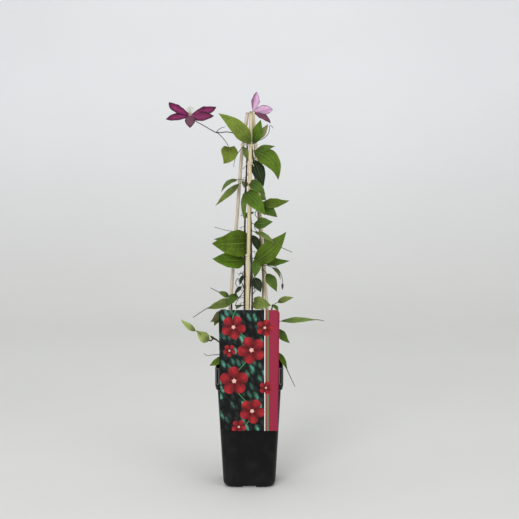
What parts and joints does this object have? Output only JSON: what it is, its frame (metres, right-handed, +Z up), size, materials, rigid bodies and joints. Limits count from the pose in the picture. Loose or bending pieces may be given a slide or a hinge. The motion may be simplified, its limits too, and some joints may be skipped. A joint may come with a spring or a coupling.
{
  "type": "potted climbing plant",
  "caption": "Young flowering clematis in a tall square nursery pot, climbing three tied canes, with a plain picture label on the pot's front.",
  "frame": {"origin": "centre of the pot's underside, on the surface that the pot stands on", "axes": "+Z up the plant, -Y towards the front with the label, +X to the viewer's right"},
  "size_m": [0.2732, 0.1408, 0.6902],
  "materials": {
    "pot_plastic": "satin black moulded plastic",
    "peat": "rough dark crumbly peat",
    "label_plastic": null,
    "cane_wood": "pale split cane with a fine lengthwise grain",
    "twine": "pale matt twine",
    "leafy_stem": "fresh green leaves with paler veins on green to brown stems",
    "sepal_purple": "velvety magenta-purple sepals",
    "sepal_lilac": "pale lilac sepal backs with purple veins",
    "stamen_cream": "matt cream-green filaments",
    "bud_dark": "downy dark purple-brown bud"
  },
  "bodies": {
    "root": {"pot": "pot_plastic", "soil": "peat", "label": "label_plastic", "cane_front": "cane_wood", "cane_left": "cane_wood", "cane_right": "cane_wood", "cane_tie": "twine", "stem_tie": "twine", "vine_left": "leafy_stem", "vine_right": "leafy_stem", "vine_back": "leafy_stem", "vine_front": "leafy_stem", "shoot_left": "leafy_stem", "shoot_left_low": "leafy_stem", "shoot_right": "leafy_stem", "shoot_right_low": "leafy_stem", "shoot_back_left": "leafy_stem", "shoot_back_right": "leafy_stem", "bloom_left": "sepal_purple", "bloom_right": "sepal_lilac", "bloom_left_stamens": "stamen_cream", "bloom_right_stamens": "stamen_cream", "bud": "bud_dark"}
  },
  "joints": []
}
